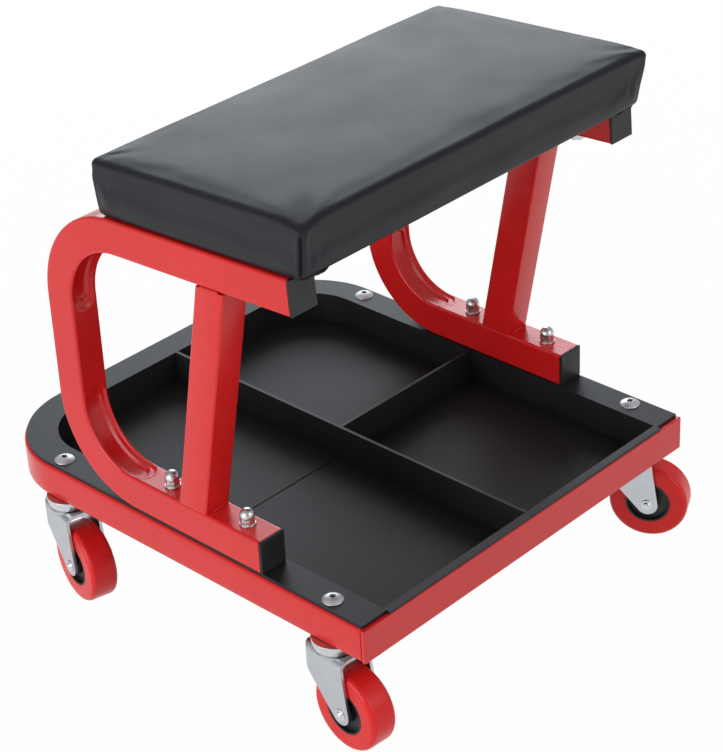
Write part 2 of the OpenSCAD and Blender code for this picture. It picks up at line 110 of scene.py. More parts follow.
class Finish:
    # a material with one Principled shader; its constants are set here, what varies comes through set()
    def __init__(self, name, **constants):
        self.material = bpy.data.materials.new(name)
        self.material.use_nodes = True
        self.tree = self.material.node_tree
        self.tree.nodes.clear()
        self.shader = self.tree.nodes.new("ShaderNodeBsdfPrincipled")
        self.out = self.tree.nodes.new("ShaderNodeOutputMaterial")
        self.tree.links.new(self.shader.outputs[0], self.out.inputs[0])
        for title, value in constants.items():
            self.shader.inputs[title.replace("_", " ")].default_value = value
        self.place = self.node("TexCoord", output="Object")

    def node(self, kind, settings=None, sockets=None, output=0):
        made = self.tree.nodes.new("ShaderNode" + kind)
        for name, value in (settings or {}).items():
            setattr(made, name, value)
        for name, value in (sockets or {}).items():
            feed(self.tree, made.inputs[name], value)
        return Wire(self.tree, made.outputs[output])

    def noise(self, scale, detail=2.0, rough=0.5, stretch=None, warp=0.0):
        where = self.place
        if stretch:
            where = self.node("Mapping", sockets={"Vector": self.place, "Scale": stretch})
        return self.node("TexNoise", sockets={"Vector": where, "Scale": scale, "Detail": detail,
                                              "Roughness": rough, "Distortion": warp}, output="Fac")

    def ramp(self, value, low, high, start=0.0, end=1.0):
        return self.node("MapRange", sockets={"Value": value, "From Min": low, "From Max": high,
                                              "To Min": start, "To Max": end})

    def mix(self, factor, first, second):
        made = self.tree.nodes.new("ShaderNodeMix")
        made.data_type = "RGBA"
        for index, value in ((0, factor), (6, first), (7, second)):     # the colour sockets of a mixed node
            feed(self.tree, made.inputs[index], value)
        return Wire(self.tree, made.outputs[2])

    def bump(self, height, strength, distance):
        return self.node("Bump", sockets={"Height": height, "Strength": strength, "Distance": distance})

    def set(self, **links):
        for name, value in links.items():
            feed(self.tree, self.shader.inputs[name.replace("_", " ")], value)


def makePaint():
    # gloss powder coat: faint orange peel, slight haze, rare dust specks
    f = Finish("redPaint", IOR=1.45)
    cloud = f.noise(9, 3)
    shade = f.mix(f.ramp(cloud, 0.35, 0.65), (0.64, 0.012, 0.012, 1), (0.68, 0.015, 0.015, 1))
    speck = f.ramp(f.noise(700, 1), 0.79, 0.82)
    f.set(Base_Color=f.mix(speck * 0.5, shade, (0.3, 0.02, 0.02, 1)),
          Roughness=f.ramp(f.noise(30, 3), 0.3, 0.7, 0.2, 0.3),
          Normal=f.bump(f.noise(420, 2), 0.06, 0.0004))
    return f.material


def makeTrayPlastic():
    # moulded plastic: satin on the flange, duller down in the compartments, where the colour is also painted
    # darker as shade
    f = Finish("trayPlastic", IOR=1.39)
    cloud = f.ramp(f.noise(5, 3, 0.5), 0.3, 0.7)
    height = f.node("SeparateXYZ", sockets={"Vector": f.place}, output="Z")
    # from the flange's underside down to the floor
    deep = f.ramp(height, (base["deck"] - 2.5) * mm, (base["deck"] - 24.5) * mm)
    # painted shade: the colour goes darker down in the compartments, where shade falls under the cushion
    satin = f.mix(cloud, (0.0085, 0.009, 0.0105, 1), (0.0115, 0.012, 0.014, 1))
    paintedShadeTone = f.mix(cloud, (0.0042, 0.0043, 0.0052, 1), (0.0058, 0.0060, 0.0070, 1))
    f.set(Base_Color=f.mix(deep, satin, paintedShadeTone), Roughness=0.5 + deep * 0.07 + cloud * 0.03,
          Normal=f.bump(f.noise(1500, 2), 0.08, 0.0003))
    return f.material


def makeCapPlastic():
    # the tubes' end caps: satin black, finely grained
    f = Finish("capPlastic", IOR=1.4)
    f.set(Base_Color=f.mix(f.noise(40, 3), (0.012, 0.012, 0.013, 1), (0.02, 0.02, 0.022, 1)),
          Roughness=f.ramp(f.noise(60, 3), 0.3, 0.7, 0.4, 0.55), Normal=f.bump(f.noise(900, 2), 0.12, 0.0003))
    return f.material


def makeZinc(name, tone, rough):
    # zinc plate: cloudy crystals and fine draw lines
    f = Finish(name, Metallic=1.0)
    cloud = f.noise(45, 3, 0.5, warp=0.4)
    shade = f.mix(f.ramp(cloud, 0.3, 0.7), tuple(c * 0.93 for c in tone) + (1,), tone + (1,))
    drawn = f.noise(260, 3, 0.6, (1, 1, 0.08))
    f.set(Base_Color=shade, Roughness=f.ramp(drawn, 0.25, 0.75, rough - 0.03, rough + 0.05),
          Normal=f.bump(drawn, 0.02, 0.0001))
    return f.material


def makeWheelRed():
    # cast urethane, a little cloudy
    f = Finish("wheelRed", IOR=1.38)
    cloud = f.noise(35, 4, 0.6)
    f.set(Base_Color=f.mix(f.ramp(cloud, 0.3, 0.7), (0.7, 0.012, 0.012, 1), (0.78, 0.016, 0.015, 1)),
          Roughness=f.ramp(f.noise(80, 3), 0.3, 0.7, 0.26, 0.36),
          Normal=f.bump(f.noise(500, 3), 0.08, 0.0003))
    return f.material


def makeHubPlastic():
    # the wheels' black cores, rubbed and uneven
    f = Finish("hubPlastic", IOR=1.46)
    f.set(Base_Color=f.mix(f.noise(90, 3), (0.006, 0.006, 0.007, 1), (0.013, 0.013, 0.014, 1)),
          Roughness=f.ramp(f.noise(120, 3), 0.3, 0.7, 0.42, 0.6), Normal=f.bump(f.noise(900, 2), 0.1, 0.0002))
    return f.material


def makeVinyl():
    # leather-grained vinyl: pebble cells with creases between, broad soft sheen
    f = Finish("seatVinyl", IOR=1.32)
    cells = f.node("TexVoronoi", {"feature": "DISTANCE_TO_EDGE"},
                   {"Vector": f.place, "Scale": 620.0, "Randomness": 1.0}, "Distance")
    pebble = f.ramp(cells, 0.0, 0.22)
    fine = f.noise(1300, 3)
    cloud = f.noise(7, 4, 0.6)
    f.set(Base_Color=f.mix(f.ramp(cloud, 0.3, 0.7), (0.0112, 0.0124, 0.0155, 1), (0.0142, 0.0157, 0.0194, 1)),
          Roughness=f.ramp(f.noise(22, 4), 0.3, 0.7, 0.47, 0.52),
          Normal=f.bump(pebble + fine * 0.3, 0.16, 0.0003))
    return f.material


def makePlywood():
    # the seat's board: long bent rings
    f = Finish("plywood", Roughness=0.7)
    rings = f.noise(14, 5, 0.6, (0.35, 6, 6), warp=1.2)
    f.set(Base_Color=f.mix(f.ramp(rings, 0.35, 0.65), (0.42, 0.27, 0.14, 1), (0.55, 0.39, 0.22, 1)),
          Normal=f.bump(rings, 0.2, 0.0004))
    return f.material


paint, trayPlastic, capPlastic = makePaint(), makeTrayPlastic(), makeCapPlastic()
zinc = makeZinc("forkZinc", (0.52, 0.54, 0.57), 0.33)
brightZinc = makeZinc("screwZinc", (0.64, 0.65, 0.66), 0.31)
satinZinc = makeZinc("satinZinc", (0.72, 0.73, 0.74), 0.44)
# painted shade: near-black zinc for the discs that stand for the shadow in the screws' sockets
socketShadeZinc = makeZinc("socketShadeZinc", (0.035, 0.036, 0.04), 0.5)
wheelRed, hubPlastic, vinyl, plywood = makeWheelRed(), makeHubPlastic(), makeVinyl(), makePlywood()
print("finishes made")


# mesh helpers
def addPiece(name, mesh, material, body, slot, *stands):
    mesh.materials.clear()
    mesh.materials.append(material)
    piece = bpy.data.objects.new(name, mesh)
    bpy.context.scene.collection.objects.link(piece)
    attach(piece, body)
    if stands:
        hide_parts(*stands)
    return piece


def evaluated(holder):
    # the modifiers' result as a plain mesh; the helper object goes
    bpy.context.view_layer.update()
    graph = bpy.context.evaluated_depsgraph_get()
    mesh = bpy.data.meshes.new_from_object(holder.evaluated_get(graph), depsgraph=graph)
    bpy.data.objects.remove(holder)
    return mesh


def helper(name, data):
    thing = bpy.data.objects.new(name, data)
    bpy.context.scene.collection.objects.link(thing)
    return thing


def meshFrom(name, points, faces):
    mesh = bpy.data.meshes.new(name)
    mesh.from_pydata([tuple(p) for p in points], [], faces)
    mesh.validate()
    return mesh


def shade(mesh, sharp):
    # smooth shading, with edges sharper than the angle kept
    mesh.shade_smooth()
    mesh.set_sharp_from_angle(angle=math.radians(sharp))
    return mesh


def softened(mesh, width, segments, sharp=30):
    # rounds every edge sharper than the angle
    holder = helper("softening", mesh)
    rounding = holder.modifiers.new("rounding", "BEVEL")
    rounding.width, rounding.segments = width, segments
    rounding.limit_method, rounding.angle_limit = "ANGLE", math.radians(sharp)
    rounding.miter_outer = "MITER_ARC"
    even = holder.modifiers.new("even", "WEIGHTED_NORMAL")
    even.mode, even.weight, even.keep_sharp = "FACE_AREA", 80, True
    shade(mesh, 2 * sharp)
    return evaluated(holder)


def cutFlats(bm, step):
    # cuts a flat face that runs round an opening into small plain ones, off the tray's own edges
    for normal in ((1, 0, 0), (0, 1, 0)):
        for n in range(-3, 4):
            place = Vector(normal) * (n * step + 1.3 * mm)
            everything = bm.verts[:] + bm.edges[:] + bm.faces[:]
            bmesh.ops.bisect_plane(bm, geom=everything, dist=1e-6, plane_co=place, plane_no=normal)


def softCopy(node, name, material, slot, width, segments=2, step=0):
    # a merged copy of a CAD node with its edges rounded, standing for the node
    source = frame["nodes"][node]
    bm = bmesh.new()
    bm.from_mesh(source.data)
    bmesh.ops.remove_doubles(bm, verts=bm.verts, dist=2e-6)
    bmesh.ops.dissolve_limit(bm, angle_limit=math.radians(0.6), verts=bm.verts, edges=bm.edges)
    if step:
        cutFlats(bm, step * mm)
    mesh = bpy.data.meshes.new(name)
    bm.to_mesh(mesh)
    bm.free()
    mesh = softened(mesh, width * mm, segments)
    addPiece(name, mesh, material, source["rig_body"], slot, node)


# geometry nodes: a tube swept along a path, and small pieces set in rows
def newTree(name, sockets):
    # a node group that takes a curve and gives a mesh, with named inputs
    tree = bpy.data.node_groups.new(name, "GeometryNodeTree")
    for title, kind, value in (("Geometry", "Geometry", None),) + sockets + (("Material", "Material", None),):
        socket = tree.interface.new_socket(title, in_out="INPUT", socket_type="NodeSocket" + kind)
        if value is not None:
            socket.default_value = value
    tree.interface.new_socket("Geometry", in_out="OUTPUT", socket_type="NodeSocketGeometry")
    return tree, tree.nodes.new("NodeGroupInput")


def coatTree(tree, entry, last):
    # the group's end: instances made real, and the material set
    real, coat = tree.nodes.new("GeometryNodeRealizeInstances"), tree.nodes.new("GeometryNodeSetMaterial")
    leave = tree.nodes.new("NodeGroupOutput")
    tree.links.new(last.outputs[0], real.inputs[0])
    tree.links.new(real.outputs[0], coat.inputs[0])
    tree.links.new(entry.outputs["Material"], coat.inputs["Material"])
    tree.links.new(coat.outputs[0], leave.inputs[0])


def makeTubeTree():
    # a rectangle, cut, its corners rounded and cut again, then swept
    sockets = (("Width", "Float", 0.02), ("Height", "Float", 0.02), ("Corner", "Float", 0.002),
               ("Cuts", "Int", 7), ("Fine", "Int", 0))
    tree, entry = newTree("tubeAlongPath", sockets)
    add, link = tree.nodes.new, tree.links.new
    section = add("GeometryNodeCurvePrimitiveQuadrilateral")
    link(entry.outputs["Width"], section.inputs["Width"])
    link(entry.outputs["Height"], section.inputs["Height"])
    cut = add("GeometryNodeSubdivideCurve")
    link(section.outputs[0], cut.inputs[0])
    link(entry.outputs["Cuts"], cut.inputs["Cuts"])
    fillet = add("GeometryNodeFilletCurve")
    fillet.mode = "POLY"
    fillet.inputs["Count"].default_value = 4
    link(cut.outputs[0], fillet.inputs["Curve"])
    link(entry.outputs["Corner"], fillet.inputs["Radius"])
    fine = add("GeometryNodeSubdivideCurve")
    link(fillet.outputs[0], fine.inputs[0])
    link(entry.outputs["Fine"], fine.inputs["Cuts"])
    upright = add("GeometryNodeSetCurveNormal")
    upright.mode = "Z_UP"
    link(entry.outputs["Geometry"], upright.inputs["Curve"])
    sweep = add("GeometryNodeCurveToMesh")
    sweep.inputs["Fill Caps"].default_value = True
    link(upright.outputs[0], sweep.inputs["Curve"])
    link(fine.outputs[0], sweep.inputs["Profile Curve"])
    merge = add("GeometryNodeMergeByDistance")
    merge.inputs["Distance"].default_value = 2e-5
    link(sweep.outputs[0], merge.inputs[0])
    coatTree(tree, entry, merge)
    return tree


def makeRowTree(name, item):
    # instances set along curves, each turned along its curve and scaled by chance: weld ripples or staples
    tree, entry = newTree(name, (("Spacing", "Float", 0.001), ("Size", "Vector", (1, 1, 1)),
                                 ("Spread", "Float", 0.1), ("Seed", "Int", 5)))
    add, link = tree.nodes.new, tree.links.new
    spots = add("GeometryNodeResampleCurve")
    spots.mode = "LENGTH"
    link(entry.outputs["Geometry"], spots.inputs["Curve"])
    link(entry.outputs["Spacing"], spots.inputs["Length"])
    shape = add(item)
    turn, tangent = add("FunctionNodeAlignRotationToVector"), add("GeometryNodeInputTangent")
    turn.axis = "X"
    link(tangent.outputs[0], turn.inputs["Vector"])
    chance, scale = add("FunctionNodeRandomValue"), add("ShaderNodeVectorMath")
    less, more = add("ShaderNodeMath"), add("ShaderNodeMath")
    less.operation, scale.operation = "SUBTRACT", "SCALE"
    less.inputs[0].default_value = more.inputs[0].default_value = 1.0
    link(entry.outputs["Spread"], less.inputs[1])
    link(entry.outputs["Spread"], more.inputs[1])
    for socket in chance.inputs:
        if socket.enabled and socket.name in ("Min", "Max"):
            link((less if socket.name == "Min" else more).outputs[0], socket)
        if socket.enabled and socket.name == "Seed":
            link(entry.outputs["Seed"], socket)
    link(entry.outputs["Size"], scale.inputs[0])
    link(next(o for o in chance.outputs if o.enabled), scale.inputs["Scale"])
    place = add("GeometryNodeInstanceOnPoints")
    link(spots.outputs[0], place.inputs["Points"])
    link(shape.outputs[0], place.inputs["Instance"])
    link(turn.outputs[0], place.inputs["Rotation"])
    link(scale.outputs[0], place.inputs["Scale"])
    coatTree(tree, entry, place)
    return tree


def grown(tree, name, runs, values):
    # the mesh that a node group makes of some runs of points, its inputs set by identifier
    curve = bpy.data.curves.new(name, "CURVE")
    curve.dimensions = "3D"
    for run in runs:
        spline = curve.splines.new("POLY")
        spline.points.add(len(run) - 1)
        for point, spot in zip(spline.points, run):
            point.co = (*spot, 1)
    holder = helper(name, curve)
    grow = holder.modifiers.new("grow", "NODES")
    grow.node_group = tree
    for socket in tree.interface.items_tree:
        if socket.in_out == "INPUT" and socket.name in values:
            grow[socket.identifier] = values[socket.name]
    return evaluated(holder)


tubeTree = makeTubeTree()


def tubeAlong(name, path, width, height, corner, cuts, fine=0):
    # path: points in a plane, as x and y; the section's width lies in that plane
    values = {"Width": width, "Height": height, "Corner": corner, "Cuts": cuts, "Fine": fine,
              "Material": paint}
    return grown(tubeTree, name, [[(x, y, 0) for x, y in path]], values)


def rowAlong(tree, name, runs, spacing, size, spread, material):
    # runs in metres, the rest in millimetres
    mesh = grown(tree, name, runs, {"Spacing": spacing * mm, "Size": [c * mm for c in size],
                                    "Spread": spread, "Material": material})
    return shade(mesh, 50)


def smooth(share):
    # from nought to one, level at both ends
    share = min(max(share, 0), 1)
    return share * share * (3 - 2 * share)


def arcPoints(centre, radius, start, end, count):
    return [(centre[0] + radius * math.cos(a), centre[1] + radius * math.sin(a))
            for a in (math.radians(start + (end - start) * k / count) for k in range(count + 1))]


def straight(a, b, step):
    # points after a, up to and with b
    count = max(1, round(math.dist(a, b) / step))
    return [(a[0] + (b[0] - a[0]) * k / count, a[1] + (b[1] - a[1]) * k / count) for k in range(1, count + 1)]


# base: rail, bar, tray
def makeBase():
    inset = base["railWidth"] / 2
    r = base["cornerRadius"] - inset
    x = base["halfWidth"] - inset
    yBack = base["depth"] - inset
    yFront = base["barThick"] + base["seam"]
    step, count = base["pathStep"], base["cornerSteps"]
    path = [(-x, yFront)]
    path += straight(path[-1], (-x, yBack - r), step)
    path += arcPoints((-x + r, yBack - r), r, 180, 90, count)[1:]
    path += straight(path[-1], (x - r, yBack), step)
    path += arcPoints((x - r, yBack - r), r, 90, 0, count)[1:]
    path += straight(path[-1], (x, yFront), step)
    mesh = tubeAlong("railTube", path, base["railWidth"], base["railHeight"], base["edge"],
                     base["cuts"])
    size = [max(v.co[i] for v in mesh.vertices) - min(v.co[i] for v in mesh.vertices) for i in range(3)]
    print("rail tube before placing, mm:", [round(s, 1) for s in size])
    mesh.transform(Matrix.Translation((0, 0, base["railLift"] + base["railHeight"] / 2)))
    for v in mesh.vertices:
        v.co = atBase(*v.co)
    addPiece("rail", shade(mesh, 40), paint, "frame", "red_paint", "base_rail")
    softCopy("front_bar", "frontBar", paint, "red_paint", base["barRound"], 3)
    softCopy("tool_tray", "toolTray", trayPlastic, "black_plastic", base["trayRound"], step=base["trayCuts"])


makeBase()
print("base made")


# side frames
groove = {"steps": ((10.2, 0, 1.7), (6.6, 6, 2.1)),     # of each step: half width, how much shorter, depth
          "lowReach": 46, "highReach": 53, "lowLip": 1.7, "highLip": 4.2, "band": 4,
          "ridge": 0.34, "ridgeOut": 0.6, "ridgeWide": 0.8}


def sidePath():
    t = side["tilt"]
    half = side["tubeDepth"] / 2
    step, fine, past = side["pathStep"], side["fineStep"], side["fineRun"]
    low = (side["legBack"] - side["bendLow"], base["deck"] + side["bendLow"])
    levelRun = side["legBack"] - side["bendHigh"] + side["bendHigh"] * math.sin(t) - side["seatFront"]
    run = levelRun / math.cos(t)
    high = (side["legBack"] - side["bendHigh"],
            base["deck"] + side["seatHeight"] - side["bendHigh"] * math.cos(t) - run * math.sin(t))
    rLow, rHigh = side["bendLow"] - half, side["bendHigh"] - half
    path = [(side["armFront"] + side["capThick"], base["deck"] + half)]
    path += straight(path[-1], (low[0] - past, path[-1][1]), step)
    path += straight(path[-1], (low[0], path[-1][1]), fine)
    path += arcPoints(low, rLow, -90, 0, side["lowSteps"])[1:]
    path += straight(path[-1], (path[-1][0], low[1] + past), fine)
    path += straight(path[-1], (path[-1][0], high[1] - past), step)
    path += straight(path[-1], (path[-1][0], high[1]), fine)
    path += arcPoints(high, rHigh, 0, 90 - math.degrees(t), side["highSteps"])[1:]
    ahead = (-math.cos(t), math.sin(t))
    start = path[-1]
    path += straight(start, (start[0] + past * ahead[0], start[1] + past * ahead[1]), fine)
    end = run - side["capThick"]
    path += straight(path[-1], (start[0] + end * ahead[0], start[1] + end * ahead[1]), step)
    return path, low, high


def pressGroove(points, centre, radius, mid, half, reach, lip):
    # nested pressed steps on the inside of a bend, each a long round-ended dish running past the bend's ends
    mid, half = math.radians(mid), math.radians(half)
    for p in points:
        q = Vector((p.x - centre[0], p.y - centre[1]))
        angle = (math.atan2(q.y, q.x) - mid + math.pi) % (2 * math.pi) - math.pi
        hand = 1 if angle > 0 else -1
        if abs(angle) <= half:
            outward, run = q.normalized(), abs(angle) * radius
        else:       # past the bend's end the groove runs straight on
            edge = mid + hand * half
            outward = Vector((math.cos(edge), math.sin(edge)))
            run = half * radius + hand * q.dot(Vector((-outward.y, outward.x)))
        if run > reach + side["fineRun"] or abs(q.dot(outward) - radius) > groove["band"]:
            continue
        push = 0
        for halfWidth, short, depth in groove["steps"]:
            gap = math.hypot(max(run - (reach - short - halfWidth), 0), p.z) - halfWidth
            ridge = math.exp(-((gap - groove["ridgeOut"]) / groove["ridgeWide"]) ** 2)
            push += depth * smooth(-gap / lip) - groove["ridge"] / lip * ridge
        p.x += push * outward.x
        p.y += push * outward.y


def makeSideFrames():
    path, low, high = sidePath()
    inner = side["tubeDepth"]
    lean = math.degrees(side["tilt"]) / 2
    for name, hand in (("left", -1), ("right", 1)):
        mesh = tubeAlong(name + "Tube", path, inner, side["tubeWidth"], side["edge"],
                         side["cuts"], side["fineCuts"])
        points = [v.co.copy() for v in mesh.vertices]
        pressGroove(points, low, side["bendLow"] - inner, -45, 45, groove["lowReach"], groove["lowLip"])
        pressGroove(points, high, side["bendHigh"] - inner, 45 - lean, 45 - lean,
                    groove["highReach"], groove["highLip"])
        for v, p in zip(mesh.vertices, points):
            v.co = atBase(hand * sideMid + p.z, p.x, p.y)
        addPiece(name + "Frame", shade(mesh, 40), paint, "frame", "red_paint",
                 name + "_side_frame", name + "_frame_bends")


makeSideFrames()
print("side frames made")


def roundedBox(halfX, halfY, r, steps=4):
    # the outline of a rectangle with round corners, anticlockwise
    ring = []
    for cx, cy, a0 in ((1, 1, 0), (-1, 1, 90), (-1, -1, 180), (1, -1, 270)):
        for k in range(steps + 1):
            a = math.radians(a0 + 90 * k / steps)
            ring.append((cx * (halfX - r) + r * math.cos(a), cy * (halfY - r) + r * math.sin(a)))
    return ring


def loft(name, rings):
    # a closed skin over rings of points, with a flat face at each end
    count = len(rings[0])
    points = [p for ring in rings for p in ring]
    faces = []
    for j in range(len(rings) - 1):
        for k in range(count):
            n = (k + 1) % count
            faces.append((j * count + k, j * count + n, (j + 1) * count + n, (j + 1) * count + k))
    faces.append(tuple(range(count - 1, -1, -1)))
    faces.append(tuple(range((len(rings) - 1) * count, len(rings) * count)))
    return meshFrom(name, points, faces)


weld = {"sunk": 0.1, "gap": 1.2, "headLevel": 0.5, "headHalf": 8, "headOut": 0.1,
        "footLevel": 0.2, "footHalf": 4, "footOut": 0.5, "tucked": 0.4,
        "spacing": 1.05, "size": (1.0, 1.25, 1.35), "spread": 0.12}


def underside(y):
    # the level of the seat arm's underside above a point of the upright's section
    t, lean = side["tilt"], side["lean"]
    top = (base["deck"] + side["seatHeight"] + side["seatFront"] * math.tan(t)
           - side["tubeDepth"] / math.cos(t))
    return (top - (y + lean * base["deck"]) * math.tan(t)) / (1 - lean * math.tan(t))


def weldEnds(turn, half, out):
    # a bead's two ends on one side of the section: front, right, back or left
    wide, deep = side["tubeWidth"] / 2 + out - weld["tucked"], side["uprightWidth"] / 2 + out
    return [((k, -deep), (wide, k), (k, deep), (-wide, k))[turn] for k in (-half, half)]


def makeUprights():
    foot = base["deck"] + side["tubeDepth"]
    mid = side["footY"] + side["uprightWidth"] / 2
    ring = roundedBox(side["tubeWidth"] / 2, side["uprightWidth"] / 2, side["edge"])

    def leaning(hand, x, y, z):
        return atBase(hand * sideMid + x, mid + y - side["lean"] * (z - base["deck"]), z)

    runs = []
    for name, hand in (("left", -1), ("right", 1)):
        rings = []
        for share in side["uprightShares"]:
            loop = []
            for x, y in ring:
                low, high = foot - weld["sunk"], underside(mid + y) - weld["gap"]
                loop.append(leaning(hand, x, y, low + (high - low) * share))
            rings.append(loop)
        mesh = loft(name + "Upright", rings)
        addPiece(name + "UprightTube", shade(mesh, 40), paint, "frame", "red_paint", name + "_upright")
        heads = [weldEnds(turn, weld["headHalf"], weld["headOut"]) for turn in range(4)]     # all round
        # the feet's beads, in front and behind
        feet = [weldEnds(turn, weld["footHalf"], weld["footOut"]) for turn in (0, 2)]
        for ends in heads:
            runs.append([leaning(hand, x, y, underside(mid + y) - weld["headLevel"]) for x, y in ends])
        for ends in feet:
            runs.append([leaning(hand, x, y, foot + weld["footLevel"]) for x, y in ends])
    tree = makeRowTree("weldRipples", "GeometryNodeMeshIcoSphere")
    beads = rowAlong(tree, "weldBeads", runs, weld["spacing"], weld["size"], weld["spread"], paint)
    addPiece("weldBeads", beads, paint, "frame", "red_paint")


makeUprights()
for name in ("left", "right"):
    softCopy(name + "_seat_arm_cap", name + "SeatArmCap", capPlastic, "black_plastic", side["capRound"], 3)
    softCopy(name + "_base_arm_cap", name + "BaseArmCap", capPlastic, "black_plastic", side["capRound"], 3)
print("uprights and caps made")


# cushion: a closed cover, blown up as cloth, then pleated at its corners
cushion = {"length": 358, "depth": 200, "edgeHeight": 45, "crown": 2.5, "drawIn": 9, "plan": 6,
           "edgeRound": 4, "rollIn": 6, "rollAngles": (0, 12, 25, 38, 51, 64, 77), "sharpest": 1.2,
           "sideLevels": (0.5, 1.8, 4, 7, 10.5, 14, 17.5, 21, 24.5, 28, 31.5, 34.5, 37.5, 40),
           "overhang": 9, "shift": 5.5, "hem": 30, "hemInsets": (26, 19, 12, 6, 2.2), "hemCorner": 6,
           "lid": 1.6, "alongX": 80, "alongY": 46, "grading": 0.66, "dropReach": 12.0,
           "drops": {(-1, -1): 6.5, (-1, 1): 1.2, (1, -1): 3.0, (1, 1): 2.0}}     # by side and front or back
# heldBelow and cap in metres
cloth = {"quality": 6, "mass": 0.3, "stretch": 20, "shear": 8, "bend": 2, "pressure": 4.0, "frames": 20,
         "heldBelow": 0.0012, "cap": 0.0012}
pleat = {"deep": 3.0, "width": 0.75, "reach": 16, "top": 37,
         "rolls": ((0.9, -2.2, 1.3), (0.5, 2.6, 1.6)),     # beside the crease: height, place, width
         "wave": 1.1, "crownWave": 0.5, "dent": 1.5, "dentAt": (172, 16), "dentSize": (5, 15),
         "dentLean": (0.75, 0.66)}


def graded(count):
    # closer steps towards both ends
    g = cushion["grading"]
    return [k / count - g * math.sin(2 * math.pi * k / count) / (2 * math.pi) for k in range(count + 1)]


def edgePoint(along, across, r, share):
    # a point on one side of a round-cornered rectangle, from one corner's middle to the next
    arc = r * math.pi / 4
    total = 2 * (along - r) + 2 * arc
    s = share * total
    hand = -1
    if s > total / 2:
        s, hand = total - s, 1
    if s < arc:
        a = math.pi / 4 - s / r
        return hand * (along - r + r * math.sin(a)), -across + r - r * math.cos(a)
    return hand * (along - r - (s - arc)), -across


def perimeter(hx, hv, r):
    # a round-cornered rectangle of half sizes hx and hv, started at one corner's middle
    xs, vs = graded(cushion["alongX"])[:-1], graded(cushion["alongY"])[:-1]
    ring = []
    for turn in range(4):
        for share in (vs if turn % 2 else xs):
            p, q = edgePoint(*((hv, hx) if turn % 2 else (hx, hv)), r, share)
            ring.append(((p, q), (-q, p), (-p, -q), (q, -p))[turn])
    return ring


def sideLevel(w, d):
    # half sizes and middle of the cover's outline at a height, drawn in by d
    u = min(w / (cushion["edgeHeight"] - cushion["edgeRound"]), 1)
    swell = cushion["drawIn"] / 2 * (1 - (1 - u) ** 1.6)
    return (cushion["length"] / 2 + swell - d, cushion["depth"] / 2 + swell - d,
            cushion["depth"] / 2 - cushion["overhang"] - cushion["shift"] * u)


def cornerDrop(x, v, w):
    # the cover is pulled down at its corners, most at the front left
    hx, hv, cv = sideLevel(cushion["edgeHeight"], 0)
    reach = math.hypot(max(hx - abs(x), 0), max(hv - abs(v - cv), 0))
    drop = cushion["drops"][(1 if x > 0 else -1), (1 if v > cv else -1)]
    return drop * math.exp(-reach / cushion["dropReach"]) * smooth((w - 8) / 30)


def coverLoops():
    # rings of points from the hem, out under the board, up the sides and over the edge
    top, r = cushion["edgeHeight"], cushion["edgeRound"]
    cv = cushion["depth"] / 2 - cushion["overhang"]
    loops = []
    hem = cushion["hem"]
    for inset, w in [(hem, cushion["lid"]), (hem, 0)] + [(n, 0) for n in cushion["hemInsets"]]:
        ring = perimeter(cushion["length"] / 2 - inset, cushion["depth"] / 2 - inset, cushion["hemCorner"])
        loops.append([(x, v + cv, w) for x, v in ring])
    for w in cushion["sideLevels"]:
        hx, hv, cv = sideLevel(w, 1.0 if w < 1 else 0)      # the lowest is rounded in under the edge
        loops.append([(x, v + cv, w) for x, v in perimeter(hx, hv, cushion["plan"])])
    for angle in cushion["rollAngles"]:
        a = math.radians(angle)
        d = cushion["rollIn"] * (1 - math.cos(a))
        hx, hv, cv = sideLevel(top, d)
        ring = perimeter(hx, hv, max(cushion["plan"] - d, cushion["sharpest"]))
        loops.append([(x, v + cv, top - r + r * math.sin(a)) for x, v in ring])
    return loops


def coverMesh():
    loops = coverLoops()
    ringSize = len(loops[0])
    points = [p for ring in loops for p in ring]
    faces = []
    for j in range(len(loops) - 1):
        for k in range(ringSize):
            n = (k + 1) % ringSize
            faces.append((j * ringSize + k, j * ringSize + n, (j + 1) * ringSize + n, (j + 1) * ringSize + k))
    hx, hv, cv = sideLevel(cushion["edgeHeight"], cushion["rollIn"])
    xs, vs = graded(cushion["alongX"]), graded(cushion["alongY"])
    nx, nv = cushion["alongX"], cushion["alongY"]
    start = len(points)
    for v in vs:
        for x in xs:
            rise = cushion["crown"] * (1 - (2 * x - 1) ** 4) * (1 - (2 * v - 1) ** 2)
            points.append((hx * (2 * x - 1), cv + hv * (2 * v - 1), cushion["edgeHeight"] + rise))

    def at(i, j):
        return start + j * (nx + 1) + i

    for j in range(nv):
        for i in range(nx):
            faces.append((at(i, j), at(i + 1, j), at(i + 1, j + 1), at(i, j + 1)))
    rim = [at(i, 0) for i in range(nx)] + [at(nx, j) for j in range(nv)]
    rim += [at(i, nv) for i in range(nx, 0, -1)] + [at(0, j) for j in range(nv, 0, -1)]
    last = (len(loops) - 1) * ringSize
    for k in range(ringSize):
        n = (k + 1) % ringSize
        faces.append((last + k, last + n, rim[n], rim[k]))
    # one point inside, above the hem, closes it
    points.append((0, cushion["depth"] / 2 - cushion["overhang"], cushion["lid"]))
    faces += [(k, len(points) - 1, (k + 1) % ringSize) for k in range(ringSize)]
    placed = [(x, v, w - cornerDrop(x, v, w)) for x, v, w in points]
    mesh = meshFrom("cover", [[c * mm for c in p] for p in placed], faces)
    bm = bmesh.new()
    bm.from_mesh(mesh)
    bmesh.ops.recalc_face_normals(bm, faces=bm.faces)
    bm.to_mesh(mesh)
    bm.free()
    return mesh


